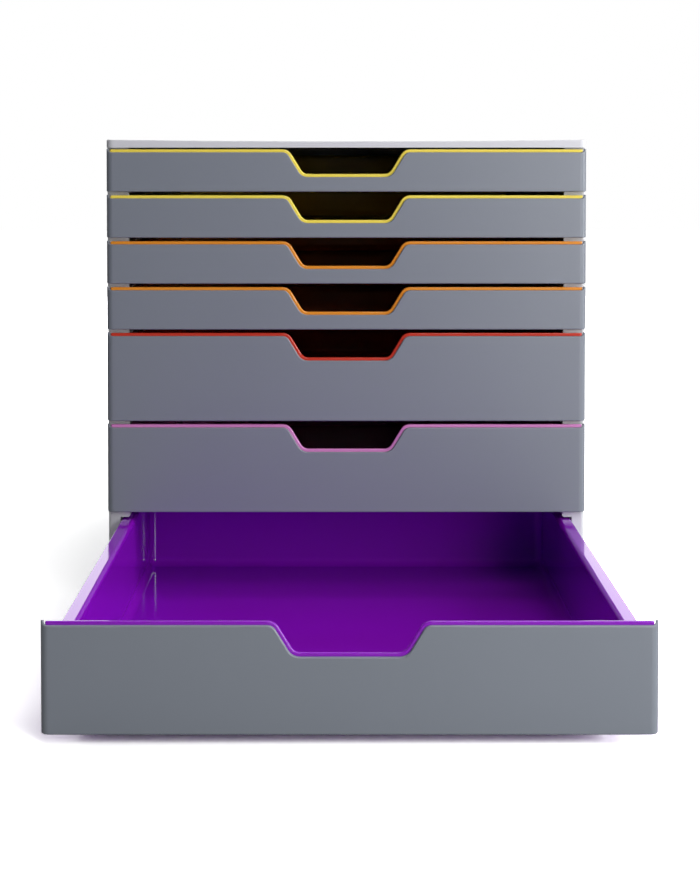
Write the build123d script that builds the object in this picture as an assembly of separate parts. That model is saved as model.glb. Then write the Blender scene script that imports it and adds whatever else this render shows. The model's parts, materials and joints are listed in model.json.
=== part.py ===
from build123d import *
import math
import os

# A desktop cabinet of drawers for craft paper. A light grey case, assembled from
# moulded panels, carries four low drawers over three tall ones. Each drawer is a
# coloured tray with a grey front, and its flanges slide on ledges inside the case.
# The lowest drawer stands pulled out.
#
# Millimetres, +X to the right, +Y to the back, +Z up. The origin is on the ground,
# under the middle of the box round the whole object with its lowest drawer out.

# --- driving dimensions ---------------------------------------------------------

# Case
case_width = 288.0
case_depth = 356.0            # shut fronts to the back of the case
case_corner_radius = 2.0      # upright corners, seen from above
case_setback = 6.0            # shut fronts to the front of the sides and the base
base_thickness = 2.5
side_thickness = 2.5
front_lip_width = 7.3         # the side's front edge, turned in
front_lip_thickness = 3.0
rear_lip_thickness = 2.3
groove_rib_thickness = 2.0    # holds the back panel against the rear lip
back_thickness = 1.8
panel_clearance = 0.3         # round the back panel in its grooves

# Case top
top_thickness = 4.8
top_setback = 0.8             # shut fronts to the front edge of the top
top_dish = 1.0                # how much lower the middle of the top is than its sides
top_corner_radius = 4.0       # the two front corners, flush with those of the fronts
top_edge_radius = 0.7
top_skirt = 2.5
top_pocket_depth = 1.5
top_groove_depth = 1.5        # takes the upper edge of the back panel

# Tenons that plug the sides into the top and the base
tenon_count = 4
tenon_length = 20.0
tenon_thickness = 1.4
tenon_height = 2.2
tenon_clearance = 0.15
tenon_end_inset = 35.0        # end of the side to the middle of the first tenon

# Feet
foot_height = 2.0             # ground to the underside of the base
foot_radius = 8.0
foot_seat_depth = 0.8         # how far a foot's pad goes into the base
foot_seat_clearance = 0.3
foot_inset = 24.0             # outer faces of the base to the middle of a foot
foot_edge_radius = 0.5

# Stack of drawers
low_count = 4
tall_count = 3
low_pitch = 27.6              # height that a low drawer takes up in the stack
tall_pitch = 55.2
lowest_edge = 4.2             # ground to the bottom edge of the lowest front
front_gap = 2.2               # bottom edge of a front to the rim below it
top_gap = 1.0                 # highest rim to the underside of the top

# Drawer movement
drawer_travel = 270.0         # from shut to the stop
rest_pull = 255.0             # how far the lowest drawer stands out
shut_gap = 0.3                # front's returns to the case's sides when shut
stop_gap = 0.3                # stop nib to the front lip at full travel

# Drawer fronts
front_thickness = 1.8
return_thickness = 1.6        # the front's two ends, turned back
return_drop = 0.9             # top edge of the front to the top of a return
front_corner_radius = 4.0
front_inner_radius = 1.2      # inside its two corners
front_edge_radius = 0.7
front_end_radius = 1.8        # where the top edge curves up to the front's raised ends
front_end_stand = 0.3         # how far these ends stand above the rim
front_end_depth = 3.4         # front face to the back of a raised end
rim_stand = 1.8               # how far the tray's rim stands above the front
rim_end_gap = 0.6             # end of the rim to the front's return

# Trays
tray_wall = 2.0
tray_floor = 2.0
floor_lift = 0.8              # bottom edge of the front to the underside of the tray
tray_corner_radius = 5.0      # inside, at the upright corners and round the floor
flange_drop = 2.7             # top of the rim to the top of the flanges
flange_width = 6.0            # side flange, out from the tray's outer wall
flange_thickness = 2.0
flange_side_gap = 1.0         # side flange to the front lip of the case
flange_bend_radius = 2.5
flange_edge_radius = 0.6
rear_flange_width = 2.5
tray_back_gap = 1.1           # rear flange to the back panel when shut
rim_end_radius = 0.9          # round the upright ends of the rim
rim_edge_radius = 0.7         # along the top of the rim
wall_lift = 0.5               # bottom edge of the front to that of the tray's front wall

# Ledges that carry the tray's flanges and hold them down
ledge_thickness = 1.2
ledge_reach = 4.7             # how far a ledge reaches under or over the flange
ledge_gap_below = 0.3
ledge_gap_above = 0.9
rail_end_height = 3.8         # the upper ledge's front end, as seen between two fronts
rail_bevel = 0.8              # along the upper ledge's lower inner edge

# Stop nibs on the side flanges
nib_width = 3.6
nib_length = 8.0

# Finger notch in the middle of each rim
notch_depth = 14.8
notch_mid_width = 60.5        # half way down
notch_slope = 58.6            # degrees from level
notch_shoulder_radius = 6.4
notch_foot_radius = 4.9

# Snap hooks that hold the front on the tray
hook_height = 4.0
hook_thickness = 1.6
hook_barb = 1.3
hook_barb_length = 1.6
hook_clearance = 0.3
hook_edge_inset = 7.0         # top or bottom edge of the front to a hook's middle
hook_wall_gap = 1.7           # tray's outer wall to the hook

# Modelling
tolerance = 0.01              # for finding an edge by its place
overcut = 1.0                 # how far a cutter runs past the face that it cuts

# --- sizes that follow ----------------------------------------------------------

front_y = (rest_pull - case_depth) / 2
case_back_y = front_y + case_depth
side_front_y = front_y + case_setback

case_half = case_width / 2
side_inner_x = case_half - side_thickness
lip_inner_x = case_half - front_lip_width
flange_outer_x = lip_inner_x - flange_side_gap
tray_outer_x = flange_outer_x - flange_width
tray_inner_x = tray_outer_x - tray_wall
ledge_inner_x = flange_outer_x - ledge_reach

return_inner_x = case_half - return_thickness
rim_end_x = return_inner_x - rim_end_gap

wall_front_y = front_y + front_thickness
wall_back_y = wall_front_y + tray_wall
back_groove_y = case_back_y - rear_lip_thickness
back_panel_y = back_groove_y - panel_clearance - back_thickness
rib_y = back_panel_y - panel_clearance - groove_rib_thickness
rear_flange_y = back_panel_y - tray_back_gap
tray_outer_y = rear_flange_y - rear_flange_width
tray_inner_y = tray_outer_y - tray_wall
nib_y = side_front_y + front_lip_thickness + stop_gap + drawer_travel

base_top = foot_height + base_thickness
drawer_pitches = [low_pitch] * low_count + [tall_pitch] * tall_count
top_underside = lowest_edge + sum(drawer_pitches) - front_gap + top_gap
case_top_z = top_underside + top_thickness


def drawer_levels():
    """Bottom edge of the front and top of the rim of each drawer, highest first."""
    levels = []
    edge = lowest_edge
    for pitch in reversed(drawer_pitches):
        levels.insert(0, (edge, edge + pitch - front_gap))
        edge += pitch
    return levels


# --- shapes used by several pieces ----------------------------------------------

def block(x_span, y_span, z_span):
    """A box between two places along each axis."""
    spans = (x_span, y_span, z_span)
    middle = [(low + high) / 2 for low, high in spans]
    size = [high - low for low, high in spans]
    return Pos(*middle) * Box(*size)


def edges_near(shape, axis, **places):
    """Edges along an axis whose middle lies at the given x, y or z places."""
    def fits(edge):
        middle = edge.center()
        found = {"x": abs(middle.X), "y": middle.Y, "z": middle.Z}
        return all(abs(found[name] - place) < tolerance for name, place in places.items())
    return [edge for edge in shape.edges().filter_by(axis) if fits(edge)]


def round_upright_corners(shape, x_place, y_places, radius):
    """Rounds the upright edges at plus and minus x_place."""
    corners = []
    for y_place in y_places:
        corners += edges_near(shape, Axis.Z, x=x_place, y=y_place)
    return fillet(corners, radius)


def notch_cut(edge_z, rim_top, grow, y_span):
    """What the finger notch takes out of a wall whose top edge is at edge_z.

    The notch in the rim is grow 0. Grown evenly, it leaves the rim standing proud.
    """
    angle = math.radians(notch_slope)
    foot_z = rim_top - notch_depth - grow
    middle_x = notch_mid_width / 2 + grow / math.sin(angle)
    middle_z = rim_top - notch_depth / 2
    foot_x = middle_x - (middle_z - foot_z) / math.tan(angle)
    shoulder_x = middle_x + (edge_z - middle_z) / math.tan(angle)
    far_x = shoulder_x + 2 * notch_shoulder_radius
    shoulder_radius = notch_shoulder_radius - grow
    foot_radius_grown = notch_foot_radius + grow
    outline = FilletPolyline(
        (-far_x, edge_z),
        (-shoulder_x, edge_z),
        (-foot_x, foot_z),
        (foot_x, foot_z),
        (shoulder_x, edge_z),
        (far_x, edge_z),
        radius=[shoulder_radius, foot_radius_grown, foot_radius_grown, shoulder_radius],
    )
    lid_z = edge_z + notch_depth
    lid = Polyline((far_x, edge_z), (far_x, lid_z), (-far_x, lid_z), (-far_x, edge_z))
    face = Plane.XZ * make_face([outline, lid])
    return Pos(0, y_span[1], 0) * extrude(face, y_span[1] - y_span[0])


def hook_places(bottom, rim_top):
    """Heights of the middles of the snap hooks at one end of a front."""
    return (bottom + hook_edge_inset, rim_top - rim_stand - hook_edge_inset)


def both_sides(shape):
    """A shape on the right and its mirror image on the left."""
    return [shape, shape.mirror(Plane.YZ)]


# --- case -----------------------------------------------------------------------

def tenon_middles():
    """Places of the tenons along Y."""
    first = side_front_y + tenon_end_inset
    last = case_back_y - tenon_end_inset
    step = (last - first) / (tenon_count - 1)
    return [first + step * number for number in range(tenon_count)]


def tenon(middle_y, z_span, clearance=0.0):
    """One tenon on the right side, or its mortise where a clearance is given."""
    x_span = (side_inner_x - clearance, side_inner_x + tenon_thickness + clearance)
    half = tenon_length / 2 + clearance
    return block(x_span, (middle_y - half, middle_y + half), z_span)


def ledge(z_low):
    """One ledge on the right side, from the front lip to the back panel's rib."""
    x_span = (ledge_inner_x, side_inner_x)
    return block(x_span, (side_front_y, rib_y), (z_low, z_low + ledge_thickness))


def rail(z_low):
    """Ledge over a flange. Its front end is taller and closes the gap between fronts."""
    end_top = min(z_low + rail_end_height, top_underside)
    end = block(
        (ledge_inner_x, side_inner_x),
        (side_front_y, side_front_y + front_lip_thickness),
        (z_low, end_top),
    )
    bar = ledge(z_low) + end
    return chamfer(edges_near(bar, Axis.Y, x=ledge_inner_x, z=z_low), rail_bevel)


def right_side():
    """Side panel with its turned-in front edge, back groove, ledges and tenons."""
    z_span = (base_top, top_underside)
    skin = block((side_inner_x, case_half), (side_front_y, case_back_y), z_span)
    lip_back = side_front_y + front_lip_thickness
    skin += block((lip_inner_x, case_half), (side_front_y, lip_back), z_span)
    skin += block((lip_inner_x, case_half), (back_groove_y, case_back_y), z_span)
    skin = round_upright_corners(
        skin, case_half, (side_front_y, case_back_y), case_corner_radius)
    rib_span = (rib_y, rib_y + groove_rib_thickness)
    skin += block((lip_inner_x, side_inner_x), rib_span, z_span)
    for bottom, rim_top in drawer_levels():
        flange_top = rim_top - flange_drop
        flange_low = flange_top - flange_thickness
        skin += ledge(flange_low - ledge_gap_below - ledge_thickness)
        skin += rail(flange_top + ledge_gap_above)
    for middle_y in tenon_middles():
        skin += tenon(middle_y, (base_top - tenon_height, base_top))
        skin += tenon(middle_y, (top_underside, top_underside + tenon_height))
    return skin


def left_side():
    """The right side's mirror image."""
    return right_side().mirror(Plane.YZ)


def case_top():
    """Top panel, slightly dished from side to side, hollow underneath."""
    corner = (case_half, case_top_z)
    sides = Polyline(
        (-case_half, case_top_z),
        (-case_half, top_underside),
        (case_half, top_underside),
        corner,
    )
    dish = ThreePointArc(corner, (0, case_top_z - top_dish), (-case_half, case_top_z))
    top_front_y = front_y + top_setback
    profile = Plane.XZ * make_face([sides, dish])
    panel = Pos(0, case_back_y, 0) * extrude(profile, case_back_y - top_front_y)
    panel = round_upright_corners(panel, case_half, (top_front_y,), top_corner_radius)
    panel = round_upright_corners(panel, case_half, (case_back_y,), case_corner_radius)
    upper = [
        edge for edge in panel.edges()
        if edge.bounding_box().min.Z > top_underside + tolerance
    ]
    panel = fillet(upper, top_edge_radius)
    pocket_back = back_panel_y - top_skirt
    panel -= block(
        (-ledge_inner_x, ledge_inner_x),
        (top_front_y + top_skirt, pocket_back),
        (top_underside, top_underside + top_pocket_depth),
    )
    panel -= block(
        (-side_inner_x, side_inner_x),
        (back_panel_y - panel_clearance, back_groove_y),
        (top_underside, top_underside + top_groove_depth),
    )
    mortise_top = top_underside + tenon_height + panel_clearance
    for middle_y in tenon_middles():
        mortise = tenon(middle_y, (top_underside, mortise_top), tenon_clearance)
        panel -= both_sides(mortise)
    return panel


def foot_middles():
    """Name and place of each foot."""
    x = case_half - foot_inset
    y_front = side_front_y + foot_inset
    y_rear = case_back_y - foot_inset
    return {
        "foot_front_left": (-x, y_front),
        "foot_front_right": (x, y_front),
        "foot_rear_left": (-x, y_rear),
        "foot_rear_right": (x, y_rear),
    }


def case_base():
    """Flat base with through mortises for the sides and seats for the feet."""
    panel = block(
        (-case_half, case_half), (side_front_y, case_back_y), (foot_height, base_top))
    panel = round_upright_corners(
        panel, case_half, (side_front_y, case_back_y), case_corner_radius)
    for middle_y in tenon_middles():
        panel -= both_sides(tenon(middle_y, (foot_height, base_top), tenon_clearance))
    seat = Cylinder(
        foot_radius + foot_seat_clearance,
        foot_seat_depth,
        align=(Align.CENTER, Align.CENTER, Align.MIN),
    )
    for x, y in foot_middles().values():
        panel -= Pos(x, y, foot_height) * seat
    return panel


def case_back():
    """Thin back panel, held in the grooves of the sides and the top."""
    half = side_inner_x - panel_clearance
    y_span = (back_panel_y, back_panel_y + back_thickness)
    panel_top = top_underside + top_groove_depth - panel_clearance
    return block((-half, half), y_span, (base_top, panel_top))


def foot(x, y):
    """Round pad, with its lower edge softened."""
    pad = Cylinder(
        foot_radius,
        foot_height + foot_seat_depth,
        align=(Align.CENTER, Align.CENTER, Align.MIN),
    )
    lower = pad.edges().group_by(Axis.Z)[0]
    return Pos(x, y, 0) * fillet(lower, foot_edge_radius)


# --- drawers --------------------------------------------------------------------

def tray_cavity(bottom, rim_top):
    """The room inside a tray, rounded at its upright corners and round its floor."""
    floor_top = bottom + floor_lift + tray_floor
    room = block(
        (-tray_inner_x, tray_inner_x), (wall_back_y, tray_inner_y), (floor_top, rim_top))
    rounded = edges_near(room, Axis.Z, x=tray_inner_x, y=tray_inner_y)
    rounded += room.faces().sort_by(Axis.Z)[0].edges()
    return fillet(rounded, tray_corner_radius)


def tray_hull(bottom, rim_top):
    """The tray's outside behind its front wall: a tub with side and rear flanges."""
    flange_top = rim_top - flange_drop
    tub = block(
        (-tray_outer_x, tray_outer_x),
        (wall_back_y, tray_outer_y),
        (bottom + floor_lift, flange_top),
    )
    low_face = tub.faces().sort_by(Axis.Z)[0]
    rounded = edges_near(tub, Axis.Z, x=tray_outer_x, y=tray_outer_y)
    rounded += [edge for edge in low_face.edges() if edge.center().Y > wall_back_y + tolerance]
    tub = fillet(rounded, tray_corner_radius + tray_wall)
    flange = block(
        (-flange_outer_x, flange_outer_x),
        (wall_back_y, rear_flange_y),
        (flange_top - flange_thickness, flange_top),
    )
    corner_radius = tray_corner_radius + tray_wall + rear_flange_width
    flange = round_upright_corners(flange, flange_outer_x, (rear_flange_y,), corner_radius)
    return tub + flange


def rim_wall(bottom, rim_top):
    """The tray's front wall. Its top edge is the rim, with the finger notch in it."""
    wall = block(
        (-rim_end_x, rim_end_x), (wall_front_y, wall_back_y), (bottom + wall_lift, rim_top))
    wall = round_upright_corners(
        wall, rim_end_x, (wall_front_y, wall_back_y), rim_end_radius)
    wall -= notch_cut(rim_top, rim_top, 0.0, (wall_front_y - overcut, wall_back_y + overcut))
    flat_half = rim_end_x - rim_end_radius
    by_depth = wall.faces().sort_by(Axis.Y)
    upper = [
        edge for face in (by_depth[0], by_depth[-1]) for edge in face.edges()
        if edge.center().Z > rim_top - notch_depth - tolerance
        and abs(edge.center().X) < flat_half - tolerance
    ]
    return fillet(upper, rim_edge_radius)


def tray(bottom, rim_top):
    """Tray with flanges, stop nibs and a front wall that is slotted for the hooks."""
    flange_top = rim_top - flange_drop
    body = tray_hull(bottom, rim_top) - tray_cavity(bottom, rim_top)
    inner_rim = [
        edge for edge in body.edges()
        if abs(edge.center().Z - flange_top) < tolerance
        and abs(edge.center().X) < tray_inner_x + tolerance
        and wall_back_y + tolerance < edge.center().Y < tray_inner_y + tolerance
    ]
    body = fillet(inner_rim, flange_bend_radius)
    outer_rim = edges_near(body, Axis.Y, x=flange_outer_x, z=flange_top)
    body = fillet(outer_rim, flange_edge_radius)
    body += rim_wall(bottom, rim_top)

    hook_x = tray_outer_x + hook_wall_gap
    slot_x = (hook_x - hook_clearance, hook_x + hook_thickness + hook_clearance)
    slot_half = hook_height / 2 + hook_clearance
    for middle_z in hook_places(bottom, rim_top):
        slot = block(
            slot_x, (wall_front_y, wall_back_y), (middle_z - slot_half, middle_z + slot_half))
        body -= both_sides(slot)

    nib = block(
        (flange_outer_x - flange_edge_radius, flange_outer_x + nib_width),
        (nib_y, nib_y + nib_length),
        (flange_top - flange_thickness, flange_top - flange_edge_radius),
    )
    body += both_sides(nib)
    return body


def front(bottom, rim_top):
    """Grey front with turned-back ends, a finger notch and snap hooks behind it.

    At both ends its top edge curves up, a little higher than the rim behind it.
    """
    top_z = rim_top - rim_stand
    end_top = rim_top + front_end_stand
    returns_y = side_front_y - shut_gap
    shell = block((-case_half, case_half), (front_y, returns_y), (bottom, end_top))
    shell = round_upright_corners(shell, case_half, (front_y,), front_corner_radius)
    inside = block(
        (-return_inner_x, return_inner_x),
        (wall_front_y, returns_y + overcut),
        (bottom - overcut, end_top + overcut),
    )
    shell -= round_upright_corners(
        inside, return_inner_x, (wall_front_y,), front_inner_radius)
    lowered = block(
        (-return_inner_x, return_inner_x),
        (front_y - overcut, returns_y + overcut),
        (top_z, end_top + overcut),
    )
    lowered_ends = edges_near(lowered, Axis.Y, x=return_inner_x, z=top_z)
    shell -= fillet(lowered_ends, front_end_radius)
    shell -= notch_cut(
        top_z, rim_top, rim_stand, (front_y - overcut, wall_front_y + overcut))
    flat_half = case_half - front_corner_radius
    face_rim = [
        edge for edge in shell.faces().sort_by(Axis.Y)[0].edges()
        if abs(edge.center().X) < flat_half - tolerance
    ]
    shell = fillet(face_rim, front_edge_radius)
    shell -= block(
        (-case_half, case_half),
        (front_y + front_end_depth, returns_y + overcut),
        (top_z - return_drop, end_top + overcut),
    )

    hook_x = tray_outer_x + hook_wall_gap
    barb_y = wall_back_y + hook_clearance
    for middle_z in hook_places(bottom, rim_top):
        z_span = (middle_z - hook_height / 2, middle_z + hook_height / 2)
        shank = block(
            (hook_x, hook_x + hook_thickness),
            (wall_front_y, barb_y + hook_barb_length),
            z_span,
        )
        barb = block(
            (hook_x, hook_x + hook_thickness + hook_barb),
            (barb_y, barb_y + hook_barb_length),
            z_span,
        )
        shell += both_sides(shank + barb)
    return shell


# --- the cabinet ----------------------------------------------------------------

def build():
    """Every piece by name, placed as the cabinet stands."""
    pieces = {
        "case_top": case_top(),
        "case_base": case_base(),
        "case_left_side": left_side(),
        "case_right_side": right_side(),
        "case_back": case_back(),
    }
    for name, (x, y) in foot_middles().items():
        pieces[name] = foot(x, y)
    levels = drawer_levels()
    for number, (bottom, rim_top) in enumerate(levels, start=1):
        pull = rest_pull if number == len(levels) else 0.0
        place = Pos(0, -pull, 0)
        pieces[f"drawer_{number}_tray"] = place * tray(bottom, rim_top)
        pieces[f"drawer_{number}_front"] = place * front(bottom, rim_top)
    return pieces


os.makedirs("parts", exist_ok=True)
for name, piece in build().items():
    export_step(piece, f"parts/{name}.step")
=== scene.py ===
import json
import math

import bmesh
import bpy
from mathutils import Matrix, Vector


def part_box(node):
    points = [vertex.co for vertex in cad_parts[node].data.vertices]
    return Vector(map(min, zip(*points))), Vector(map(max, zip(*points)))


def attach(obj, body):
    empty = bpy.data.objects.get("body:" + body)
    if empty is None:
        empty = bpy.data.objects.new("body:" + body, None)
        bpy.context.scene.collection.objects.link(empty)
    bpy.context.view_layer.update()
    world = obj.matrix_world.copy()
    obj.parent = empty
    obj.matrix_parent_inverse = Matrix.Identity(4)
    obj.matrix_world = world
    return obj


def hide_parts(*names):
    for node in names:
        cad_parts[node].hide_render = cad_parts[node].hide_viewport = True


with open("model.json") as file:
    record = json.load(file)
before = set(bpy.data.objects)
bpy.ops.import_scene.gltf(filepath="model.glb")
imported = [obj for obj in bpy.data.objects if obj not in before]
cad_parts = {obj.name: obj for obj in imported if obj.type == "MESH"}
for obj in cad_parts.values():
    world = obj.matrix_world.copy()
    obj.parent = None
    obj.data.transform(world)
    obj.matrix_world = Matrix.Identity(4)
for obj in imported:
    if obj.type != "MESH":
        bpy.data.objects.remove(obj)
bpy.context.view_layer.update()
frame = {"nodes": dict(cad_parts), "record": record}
nodes = frame["nodes"]
slot_of = {row["node"]: row["material_slot"] for row in frame["record"]["subparts"]}

MM = 0.001

# --- camera ---------------------------------------------------------------------

# The photograph's camera stands level with the top drawer, a little left of the
# middle, about 1.1 m in front of the shut drawers, and looks almost level.
CAMERA_PLACE = (-0.0069, -1.1493, 0.2710)
CAMERA_TILT_DEGREES = 2.166
CAMERA_LENS_MM = 74.56
CAMERA_SHIFT = (0.0171, -0.24)


def add_camera():
    data = bpy.data.cameras.new("camera")
    data.lens = CAMERA_LENS_MM
    data.sensor_width = 36.0
    data.shift_x, data.shift_y = CAMERA_SHIFT
    camera = bpy.data.objects.new("camera", data)
    bpy.context.scene.collection.objects.link(camera)
    camera.location = CAMERA_PLACE
    camera.rotation_euler = (math.radians(90 - CAMERA_TILT_DEGREES), 0, 0)
    bpy.context.scene.camera = camera


# --- materials ------------------------------------------------------------------

def srgb(text):
    """A linear RGBA colour from an sRGB hex value."""
    channels = [int(text[i:i + 2], 16) / 255 for i in (1, 3, 5)]
    linear = [c / 12.92 if c <= 0.04045 else ((c + 0.055) / 1.055) ** 2.4 for c in channels]
    return (*linear, 1.0)


def add_node(material, kind, settings=None, inputs=None):
    """Adds a node. An input is a value, or an output socket to link from."""
    tree = material.node_tree
    made = tree.nodes.new(kind)
    for name, value in (settings or {}).items():
        setattr(made, name, value)
    for name, value in (inputs or {}).items():
        if isinstance(value, bpy.types.NodeSocket):
            tree.links.new(value, made.inputs[name])
        else:
            made.inputs[name].default_value = value
    return made


def new_material(name):
    """A material with an empty node tree."""
    material = bpy.data.materials.new(name)
    material.use_nodes = True
    material.node_tree.nodes.clear()
    return material


POLYSTYRENE_IOR = 1.58
RUBBER_IOR = 1.5
FLOW_WIDTH_MM = 90.0      # how far apart the melt's faint clouds lie
GLOSS_SPREAD = 0.15       # how much the grain varies the roughness, as a share


def moulded_material(name, colour, shade, roughness, grain_mm, grain_depth_mm, ior):
    """A material pressed in a steel tool, such as polystyrene or rubber.

    The base colour drifts slightly to its shade over a hand's width, as the melt's
    flow does. The tool's own texture is a fine bump, and roughness varies with it.
    """
    material = new_material(name)
    place = add_node(material, "ShaderNodeTexCoord").outputs["Object"]
    flow = add_node(material, "ShaderNodeTexNoise", inputs={
        "Vector": place, "Scale": 1 / (FLOW_WIDTH_MM * MM), "Detail": 2.0, "Roughness": 0.5})
    tint = add_node(material, "ShaderNodeMix", {"data_type": "RGBA"}, {
        0: flow.outputs["Fac"], 6: srgb(colour), 7: srgb(shade)})
    grain = add_node(material, "ShaderNodeTexNoise", inputs={
        "Vector": place, "Scale": 1 / (grain_mm * MM), "Detail": 3.0, "Roughness": 0.6})
    gloss = add_node(material, "ShaderNodeMapRange", inputs={
        "Value": grain.outputs["Fac"],
        3: roughness * (1 - GLOSS_SPREAD), 4: roughness * (1 + GLOSS_SPREAD)})
    bump = add_node(material, "ShaderNodeBump", inputs={
        "Height": grain.outputs["Fac"], "Distance": grain_depth_mm * MM, "Strength": 1.0})
    surface = add_node(material, "ShaderNodeBsdfPrincipled", inputs={
        "Base Color": tint.outputs[2],
        "Roughness": gloss.outputs[0],
        "Normal": bump.outputs["Normal"],
        "IOR": ior,
    })
    add_node(material, "ShaderNodeOutputMaterial", inputs={"Surface": surface.outputs[0]})
    return material


def make_materials():
    """One material for each of the record's slots."""
    # The case and the fronts come from a lightly etched tool. The eye gets a dry,
    # even satin with broad, weak highlights. The grain is drawn coarser than the
    # real etching of about 0.1 mm, which is too fine to show.
    satin = {"grain_mm": 1.2, "grain_depth_mm": 0.006, "ior": POLYSTYRENE_IOR}
    # The trays come from a polished tool. The eye gets sharp reflections that
    # swim a little over the long, soft waves of the sheet-like walls.
    gloss = {"grain_mm": 40.0, "grain_depth_mm": 0.02, "ior": POLYSTYRENE_IOR}
    # The feet are matt moulded rubber: dark and dull, with a coarse bloom.
    rubber = {"grain_mm": 0.8, "grain_depth_mm": 0.03, "ior": RUBBER_IOR}
    return {
        # A cool, pale grey, the lightest surface of the object.
        "case_light_grey": moulded_material(
            "satin_polystyrene_light_grey", "#d9dadf", "#d5d6db", 0.42, **satin),
        # A middle grey with a little blue, smoother than the case.
        "front_grey": moulded_material(
            "satin_polystyrene_slate_grey", "#808690", "#7c828c", 0.38, **satin),
        # Lemon yellow: as a thin rim it reads as a bright line.
        "tray_yellow": moulded_material(
            "gloss_polystyrene_yellow", "#ffe964", "#fde35c", 0.12, **gloss),
        # Warm orange, between the yellow and the red.
        "tray_orange": moulded_material(
            "gloss_polystyrene_orange", "#ee9734", "#ea912e", 0.12, **gloss),
        # Brick red, the darkest of the rims.
        "tray_red": moulded_material(
            "gloss_polystyrene_red", "#d03c2b", "#ca3727", 0.12, **gloss),
        # Orchid pink, pale and cool.
        "tray_pink": moulded_material(
            "gloss_polystyrene_orchid", "#d886c8", "#d480c3", 0.12, **gloss),
        # Saturated purple, the glossiest: its walls mirror each other.
        "tray_purple": moulded_material(
            "gloss_polystyrene_purple", "#9012c5", "#8b10bf", 0.08, **gloss),
        "foot_rubber": moulded_material(
            "moulded_rubber_dark", "#2a2a2c", "#262628", 0.75, **rubber),
    }


materials = make_materials()


def finish_cad_nodes():
    """Each CAD node takes the material of its slot."""
    for name, piece in nodes.items():
        for slot in piece.material_slots:
            slot.material = materials[slot_of[name]]


# --- modelling ------------------------------------------------------------------

NEAR = 0.1 * MM                         # how near a face lies to the side it is on
SMOOTH_BELOW = math.radians(35)         # flatter edges are shaded smooth


def pick_faces(piece, wanted):
    """In edit mode, selects the faces whose middle passes the test, and no other."""
    bpy.ops.mesh.select_mode(type="FACE")
    bpy.ops.mesh.select_all(action="DESELECT")
    shape = bmesh.from_edit_mesh(piece.data)
    for face in shape.faces:
        middle = sum((corner.co for corner in face.verts), Vector()) / len(face.verts)
        if wanted(middle):
            face.select_set(True)
    bmesh.update_edit_mesh(piece.data)


def start_piece(name):
    """Names the primitive that was just added, and opens it for editing."""
    piece = bpy.context.object
    piece.name = name
    bpy.ops.object.transform_apply(location=True, rotation=True, scale=True)
    bpy.ops.object.mode_set(mode="EDIT")
    return piece


def finish_piece(piece, bevel_mm, slot, node):
    """Softens the piece's sharp edges, and lets it stand for its CAD node."""
    bpy.ops.object.mode_set(mode="OBJECT")
    soften = piece.modifiers.new("soft_edges", "BEVEL")
    soften.width = bevel_mm * MM
    soften.segments = 3
    soften.limit_method = "ANGLE"
    soften.angle_limit = SMOOTH_BELOW
    bpy.ops.object.modifier_apply(modifier=soften.name)
    bpy.ops.object.shade_smooth_by_angle(angle=SMOOTH_BELOW)
    piece.data.materials.append(materials[slot])
    stand_for(piece, node)


def stand_for(piece, node):
    """The piece is part of the case, and is seen in place of the node."""
    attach(piece, "case")
    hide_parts(node)


BACK_BORDER_MM = 15.0                   # flat border round the sunk field
BACK_CORNER_MM = 9.0                    # how far the field's corners are cut back
BACK_RECESS_MM = 0.7
BACK_SLOPE_MM = 1.2                     # width of the step down into the field
BACK_EDGE_MM = 0.25


def model_back_panel():
    """The back panel, with a shallow sunk field inside its border."""
    low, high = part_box("case_back")
    centre = (low + high) / 2
    bpy.ops.object.select_all(action="DESELECT")
    bpy.ops.mesh.primitive_cube_add(size=1, location=centre, scale=high - low)
    panel = start_piece("back_panel_sunk_field")
    pick_faces(panel, lambda middle: middle.y > high.y - NEAR)
    bpy.ops.mesh.inset(thickness=BACK_BORDER_MM * MM, depth=0)
    bpy.ops.mesh.bevel(offset=BACK_CORNER_MM * MM, segments=8, affect="VERTICES")
    pick_faces(panel, lambda middle: middle.y > high.y - NEAR
               and abs(middle.x - centre.x) < 1 * MM and abs(middle.z - centre.z) < 1 * MM)
    bpy.ops.mesh.inset(thickness=BACK_SLOPE_MM * MM, depth=-BACK_RECESS_MM * MM)
    finish_piece(panel, BACK_EDGE_MM, "case_light_grey", "case_back")


FOOT_NODES = ("foot_front_left", "foot_front_right", "foot_rear_left", "foot_rear_right")
# From the pad's rim inwards: how far each inset goes, and how far it stands out.
FOOT_RINGS_MM = ((1.9, 0.0), (0.4, -0.8), (1.3, 0.0), (0.4, 0.8))
FOOT_EDGE_MM = 0.3


def model_feet():
    """Round rubber pads with a moulded ring groove underneath, one copied to all."""
    low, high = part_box(FOOT_NODES[0])
    centre = (low + high) / 2
    bpy.ops.object.select_all(action="DESELECT")
    bpy.ops.mesh.primitive_cylinder_add(
        vertices=64, radius=(high.x - low.x) / 2, depth=high.z - low.z, location=centre)
    foot = start_piece("rubber_pad_front_left")
    pick_faces(foot, lambda middle: middle.z < low.z + NEAR)
    for width_mm, stand_mm in FOOT_RINGS_MM:
        bpy.ops.mesh.inset(thickness=width_mm * MM, depth=stand_mm * MM)
    finish_piece(foot, FOOT_EDGE_MM, "foot_rubber", FOOT_NODES[0])
    for node in FOOT_NODES[1:]:
        other_low, other_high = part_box(node)
        other = bpy.data.objects.new(node.replace("foot", "rubber_pad"), foot.data.copy())
        bpy.context.scene.collection.objects.link(other)
        move = (other_low + other_high) / 2 - centre
        for corner in other.data.vertices:
            corner.co += move
        stand_for(other, node)


# --- studio ---------------------------------------------------------------------

FLOOR_SIZE = 12.0
WHITE_STARTS, WHITE_FROM = 0.5, 1.3     # metres from the object's middle
PAPER_AS_SEEN = (2.0, 2.0, 2.0, 1.0)


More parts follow.
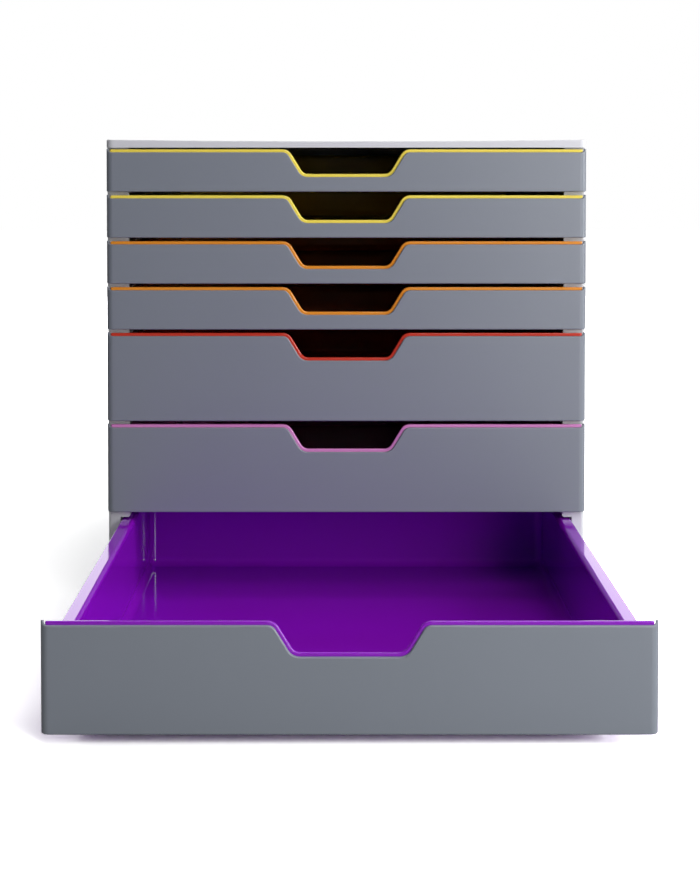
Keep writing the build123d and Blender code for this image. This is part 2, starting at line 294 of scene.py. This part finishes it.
def add_floor():
    """Pale floor. Far from the object it goes over into the white background.

    The camera sees the paper lighter than the lamps do, so its wide, faint shadow
    goes white, and the close shadow under the object stays.
    """
    bpy.ops.mesh.primitive_plane_add(size=FLOOR_SIZE, location=(0, 0, 0))
    floor = bpy.context.object
    floor.name = "studio_floor"
    material = new_material("matte_pale_paper_sweep")
    ray = add_node(material, "ShaderNodeLightPath")
    place = add_node(material, "ShaderNodeTexCoord").outputs["Object"]
    distance = add_node(material, "ShaderNodeVectorMath", {"operation": "LENGTH"}, {0: place})
    far = add_node(material, "ShaderNodeMapRange", {"interpolation_type": "SMOOTHSTEP"}, {
        "Value": distance.outputs["Value"], 1: WHITE_STARTS, 2: WHITE_FROM})
    seen_far = add_node(material, "ShaderNodeMath", {"operation": "MULTIPLY"}, {
        0: far.outputs[0], 1: ray.outputs["Is Camera Ray"]})
    paper = add_node(material, "ShaderNodeMix", {"data_type": "RGBA"}, {
        0: ray.outputs["Is Camera Ray"], 6: srgb("#acacac"), 7: PAPER_AS_SEEN})
    matte = add_node(material, "ShaderNodeBsdfDiffuse", inputs={"Color": paper.outputs[2]})
    backdrop = add_node(material, "ShaderNodeEmission", inputs={
        "Color": srgb("#ffffff"), "Strength": seen_far.outputs[0]})
    both = add_node(material, "ShaderNodeAddShader", inputs={
        0: matte.outputs[0], 1: backdrop.outputs[0]})
    add_node(material, "ShaderNodeOutputMaterial", inputs={"Surface": both.outputs[0]})
    floor.data.materials.append(material)


def add_world(ambient):
    """Even, dim surroundings that light the object, with a white background."""
    world = bpy.data.worlds.new("studio")
    world.use_nodes = True
    world.node_tree.nodes.clear()
    ray = add_node(world, "ShaderNodeLightPath")
    sees_backdrop = add_node(world, "ShaderNodeMath", {"operation": "MAXIMUM"}, {
        0: ray.outputs["Is Camera Ray"], 1: ray.outputs["Is Transmission Ray"]})
    white = add_node(world, "ShaderNodeBackground", inputs={
        "Color": srgb("#ffffff"), "Strength": 1.0})
    dim = add_node(world, "ShaderNodeBackground", inputs={
        "Color": srgb("#ffffff"), "Strength": ambient})
    mixed = add_node(world, "ShaderNodeMixShader", inputs={
        0: sees_backdrop.outputs[0], 1: dim.outputs[0], 2: white.outputs[0]})
    add_node(world, "ShaderNodeOutputWorld", inputs={"Surface": mixed.outputs[0]})
    bpy.context.scene.world = world


def add_softbox(name, place, aim, size, brightness):
    """An oblong soft lamp. Its brightness is the radiance of its face."""
    data = bpy.data.lights.new(name, "AREA")
    data.shape = "RECTANGLE"
    data.size, data.size_y = size
    data.energy = brightness * math.pi * size[0] * size[1]
    lamp = bpy.data.objects.new(name, data)
    bpy.context.scene.collection.objects.link(lamp)
    lamp.location = place
    direction = Vector(aim) - Vector(place)
    lamp.rotation_euler = direction.to_track_quat("-Z", "Y").to_euler()
    lamp.visible_camera = False


def add_studio():
    """One soft key from the right, as in the photograph, with weaker helpers.

    The key lights the drawer's left wall and leaves its right wall dark. The lamp
    beside the camera makes the fronts brighter towards the right, and the one above
    it lights the coloured rims. The one above and behind lights the top and the
    trays' floors, and the panel behind is what the glossy flanges reflect.
    """
    add_floor()
    add_world(ambient=0.05)
    add_softbox("key_right", (1.09, -0.23, 0.50), (0, -0.10, 0.14), (0.4, 0.7), 9.5)
    add_softbox("front_right", (0.50, -1.04, 0.34), (0.10, -0.10, 0.14), (0.35, 0.6), 7.8)
    add_softbox("top_front", (0.35, -0.95, 1.00), (0, -0.05, 0.16), (0.7, 0.5), 4.0)
    add_softbox("top_rear", (0.0, 0.35, 1.60), (0, 0, 0.10), (1.6, 1.2), 2.0)
    add_softbox("back_panel", (0.0, 2.2, 0.9), (0, 0, 0.10), (4.0, 1.8), 1.8)


# --- the scene ------------------------------------------------------------------

bpy.context.scene.view_settings.view_transform = "Standard"
add_camera()
add_studio()
finish_cad_nodes()
model_back_panel()
model_feet()
